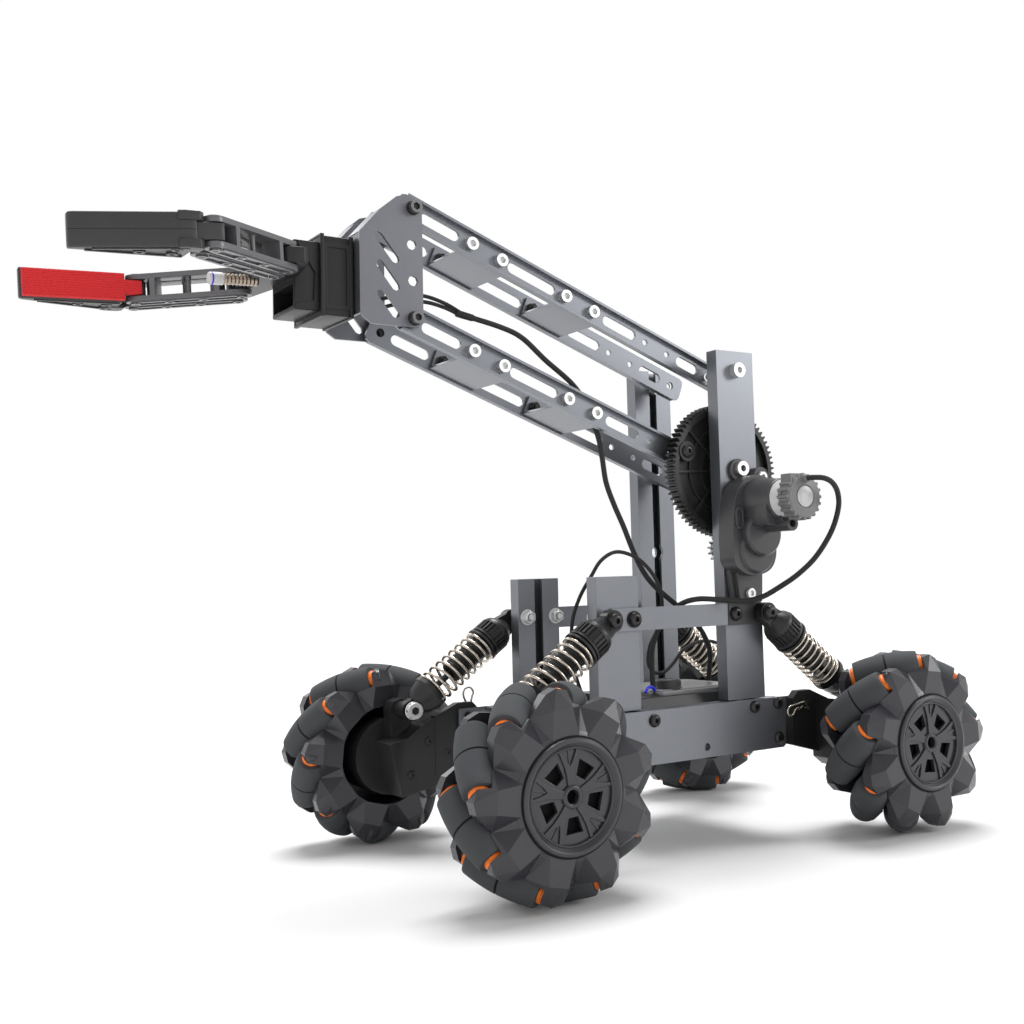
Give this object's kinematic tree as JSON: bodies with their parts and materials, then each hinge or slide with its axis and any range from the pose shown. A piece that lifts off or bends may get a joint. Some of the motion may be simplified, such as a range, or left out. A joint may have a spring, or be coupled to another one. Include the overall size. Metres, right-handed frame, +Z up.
{
  "type": "mecanum wheel robot",
  "caption": "Four-wheel mecanum rover with sprung corners, a geared parallelogram lift arm and a parallel-jaw gripper.",
  "frame": {"origin": "centre of the footprint of the object's box, on the floor that the wheels stand on", "axes": "+X forward, towards the gripper; +Y the robot's left; +Z up"},
  "size_m": [0.4684, 0.237, 0.3338],
  "materials": {
    "anodised_frame": "satin gunmetal anodising",
    "black_casing": "fine matt moulding",
    "grey_moulding": "satin dark grey moulding",
    "roller_rubber": "matt dark rubber",
    "red_rubber": "matt red ribbed rubber",
    "spring_steel": "bright nickel-plated wire",
    "bright_steel": "bright machined steel",
    "cable_skin": "soft black cable jacket"
  },
  "bodies": {
    "chassis": {"floor_plate": "anodised_frame", "battery_box": "black_casing", "battery_cap": "black_casing", "rail_left": "anodised_frame", "rail_right": "anodised_frame", "tower_left": "anodised_frame", "tower_right": "anodised_frame", "front_post_left": "anodised_frame", "front_post_right": "anodised_frame", "side_bar_left": "anodised_frame", "side_bar_right": "anodised_frame", "arm_gearbox": "black_casing", "arm_motor": "grey_moulding", "motor_cable": "cable_skin", "wheel_cable": "cable_skin"},
    "swing_front_left": {"swing_arm_front_left": "black_casing"},
    "wheel_front_left": {"rim_front_left": "grey_moulding", "rollers_front_left": "roller_rubber"},
    "shock_front_left": {"shock_body_front_left": "black_casing", "spring_front_left": "spring_steel"},
    "piston_front_left": {"shock_rod_front_left": "black_casing"},
    "swing_front_right": {"swing_arm_front_right": "black_casing"},
    "wheel_front_right": {"rim_front_right": "grey_moulding", "rollers_front_right": "roller_rubber"},
    "shock_front_right": {"shock_body_front_right": "black_casing", "spring_front_right": "spring_steel"},
    "piston_front_right": {"shock_rod_front_right": "black_casing"},
    "swing_rear_left": {"swing_arm_rear_left": "black_casing"},
    "wheel_rear_left": {"rim_rear_left": "grey_moulding", "rollers_rear_left": "roller_rubber"},
    "shock_rear_left": {"shock_body_rear_left": "black_casing", "spring_rear_left": "spring_steel"},
    "piston_rear_left": {"shock_rod_rear_left": "black_casing"},
    "swing_rear_right": {"swing_arm_rear_right": "black_casing"},
    "wheel_rear_right": {"rim_rear_right": "grey_moulding", "rollers_rear_right": "roller_rubber"},
    "shock_rear_right": {"shock_body_rear_right": "black_casing", "spring_rear_right": "spring_steel"},
    "piston_rear_right": {"shock_rod_rear_right": "black_casing"},
    "arm_lower": {"arm_bar_lower_left": "anodised_frame", "arm_bar_lower_right": "anodised_frame", "cross_plate_lower_front": "anodised_frame", "cross_plate_lower_rear": "anodised_frame", "arm_gear": "black_casing", "arm_cable": "cable_skin"},
    "arm_upper": {"arm_bar_upper_left": "anodised_frame", "arm_bar_upper_right": "anodised_frame", "cross_plate_upper_front": "anodised_frame", "cross_plate_upper_rear": "anodised_frame"},
    "pinion": {"arm_pinion": "bright_steel"},
    "gripper": {"gripper_bracket": "anodised_frame", "gripper_housing": "black_casing"},
    "link_outer_left": {"link_outer_left": "grey_moulding"},
    "link_inner_left": {"link_inner_left": "grey_moulding"},
    "jaw_left": {"jaw_left": "grey_moulding", "pad_left": "red_rubber"},
    "link_outer_right": {"link_outer_right": "grey_moulding"},
    "link_inner_right": {"link_inner_right": "grey_moulding"},
    "jaw_right": {"jaw_right": "grey_moulding", "pad_right": "red_rubber"}
  },
  "joints": [
    {"name": "swing_front_left", "type": "hinge", "parent": "chassis", "child": "swing_front_left", "pos_m": [0.00695, 0.05, 0.0686], "axis": [0, -1, 0], "range_deg": [-4, 13], "stiffness_Nm_per_rad": 3, "springref_deg": -4.3},
    {"name": "wheel_front_left", "type": "hinge", "parent": "swing_front_left", "child": "wheel_front_left", "pos_m": [0.04195, 0.0925, 0.0485], "axis": [0, 1, 0], "continuous": true},
    {"name": "shock_front_left", "type": "hinge", "parent": "chassis", "child": "shock_front_left", "pos_m": [-0.02375, 0.0503, 0.1197], "axis": [0, -1, 0], "range_deg": [-1.17, 3.8]},
    {"name": "piston_front_left", "type": "slide", "parent": "shock_front_left", "child": "piston_front_left", "axis": [-0.8125, 0, 0.5829], "range_m": [-0.00183, 0.00594], "deforming": ["spring_front_left"]},
    {"name": "swing_front_right", "type": "hinge", "parent": "chassis", "child": "swing_front_right", "pos_m": [0.00695, -0.05, 0.0686], "axis": [0, -1, 0], "range_deg": [-4, 13], "stiffness_Nm_per_rad": 3, "springref_deg": -4.3},
    {"name": "wheel_front_right", "type": "hinge", "parent": "swing_front_right", "child": "wheel_front_right", "pos_m": [0.04195, -0.0925, 0.0485], "axis": [0, 1, 0], "continuous": true},
    {"name": "shock_front_right", "type": "hinge", "parent": "chassis", "child": "shock_front_right", "pos_m": [-0.02375, -0.0503, 0.1197], "axis": [0, -1, 0], "range_deg": [-1.17, 3.8]},
    {"name": "piston_front_right", "type": "slide", "parent": "shock_front_right", "child": "piston_front_right", "axis": [-0.8125, 0, 0.5829], "range_m": [-0.00183, 0.00594], "deforming": ["spring_front_right"]},
    {"name": "swing_rear_left", "type": "hinge", "parent": "chassis", "child": "swing_rear_left", "pos_m": [-0.15105, 0.05, 0.0686], "axis": [0, 1, 0], "range_deg": [-4, 13], "stiffness_Nm_per_rad": 3, "springref_deg": -4.3},
    {"name": "wheel_rear_left", "type": "hinge", "parent": "swing_rear_left", "child": "wheel_rear_left", "pos_m": [-0.18605, 0.0925, 0.0485], "axis": [0, 1, 0], "continuous": true},
    {"name": "shock_rear_left", "type": "hinge", "parent": "chassis", "child": "shock_rear_left", "pos_m": [-0.12765, 0.0503, 0.1197], "axis": [0, 1, 0], "range_deg": [-1.18, 3.83]},
    {"name": "piston_rear_left", "type": "slide", "parent": "shock_rear_left", "child": "piston_rear_left", "axis": [0.777, 0, 0.6295], "range_m": [-0.00192, 0.00623], "deforming": ["spring_rear_left"]},
    {"name": "swing_rear_right", "type": "hinge", "parent": "chassis", "child": "swing_rear_right", "pos_m": [-0.15105, -0.05, 0.0686], "axis": [0, 1, 0], "range_deg": [-4, 13], "stiffness_Nm_per_rad": 3, "springref_deg": -4.3},
    {"name": "wheel_rear_right", "type": "hinge", "parent": "swing_rear_right", "child": "wheel_rear_right", "pos_m": [-0.18605, -0.0925, 0.0485], "axis": [0, 1, 0], "continuous": true},
    {"name": "shock_rear_right", "type": "hinge", "parent": "chassis", "child": "shock_rear_right", "pos_m": [-0.12765, -0.0503, 0.1197], "axis": [0, 1, 0], "range_deg": [-1.18, 3.83]},
    {"name": "piston_rear_right", "type": "slide", "parent": "shock_rear_right", "child": "piston_rear_right", "axis": [0.777, 0, 0.6295], "range_m": [-0.00192, 0.00623], "deforming": ["spring_rear_right"]},
    {"name": "arm_lift", "type": "hinge", "parent": "chassis", "child": "arm_lower", "pos_m": [-0.11815, 0, 0.1997], "axis": [0, -1, 0], "range_deg": [-77, 38], "deforming": ["arm_cable"]},
    {"name": "arm_upper_link", "type": "hinge", "parent": "chassis", "child": "arm_upper", "pos_m": [-0.11815, 0, 0.2549], "axis": [0, -1, 0], "range_deg": [-77, 38]},
    {"name": "gripper_level", "type": "hinge", "parent": "arm_lower", "child": "gripper", "pos_m": [0.06872, 0, 0.27069], "axis": [0, -1, 0], "range_deg": [-38, 77]},
    {"name": "pinion_spin", "type": "hinge", "parent": "chassis", "child": "pinion", "pos_m": [-0.11815, 0, 0.1557], "axis": [0, -1, 0], "range_deg": [-185.9, 375.7]},
    {"name": "grip_left", "type": "hinge", "parent": "gripper", "child": "link_outer_left", "pos_m": [0.13695, 0.034, 0.2904], "axis": [0.0506, 0, 0.9987], "range_deg": [-53.4, 4]},
    {"name": "grip_inner_left", "type": "hinge", "parent": "gripper", "child": "link_inner_left", "pos_m": [0.13895, 0.022, 0.2903], "axis": [0.0506, 0, 0.9987], "range_deg": [-53.4, 4]},
    {"name": "jaw_level_left", "type": "hinge", "parent": "link_outer_left", "child": "jaw_left", "pos_m": [0.1789, 0.064, 0.28828], "axis": [0.0506, 0, 0.9987], "range_deg": [-4, 53.4]},
    {"name": "grip_right", "type": "hinge", "parent": "gripper", "child": "link_outer_right", "pos_m": [0.13695, -0.034, 0.2904], "axis": [0.0506, 0, 0.9987], "range_deg": [-4, 53.4]},
    {"name": "grip_inner_right", "type": "hinge", "parent": "gripper", "child": "link_inner_right", "pos_m": [0.13895, -0.022, 0.2903], "axis": [0.0506, 0, 0.9987], "range_deg": [-4, 53.4]},
    {"name": "jaw_level_right", "type": "hinge", "parent": "link_outer_right", "child": "jaw_right", "pos_m": [0.1789, -0.064, 0.28828], "axis": [0.0506, 0, 0.9987], "range_deg": [-53.4, 4]}
  ],
  "couplings": [
    {"joint": "shock_front_left", "follows": "swing_front_left", "ratio": 0.2865},
    {"joint": "piston_front_left", "follows": "swing_front_left", "m_per_rad": 0.025419},
    {"joint": "shock_front_right", "follows": "swing_front_right", "ratio": 0.2865},
    {"joint": "piston_front_right", "follows": "swing_front_right", "m_per_rad": 0.025419},
    {"joint": "shock_rear_left", "follows": "swing_rear_left", "ratio": 0.2892},
    {"joint": "piston_rear_left", "follows": "swing_rear_left", "m_per_rad": 0.026638},
    {"joint": "shock_rear_right", "follows": "swing_rear_right", "ratio": 0.2892},
    {"joint": "piston_rear_right", "follows": "swing_rear_right", "m_per_rad": 0.026638},
    {"joint": "arm_upper_link", "follows": "arm_lift", "ratio": 1},
    {"joint": "gripper_level", "follows": "arm_lift", "ratio": -1},
    {"joint": "pinion_spin", "follows": "arm_lift", "ratio": -4.8667},
    {"joint": "grip_inner_left", "follows": "grip_left", "ratio": 1},
    {"joint": "jaw_level_left", "follows": "grip_left", "ratio": -1},
    {"joint": "grip_right", "follows": "grip_left", "ratio": -1},
    {"joint": "grip_inner_right", "follows": "grip_left", "ratio": -1},
    {"joint": "jaw_level_right", "follows": "grip_left", "ratio": 1}
  ]
}
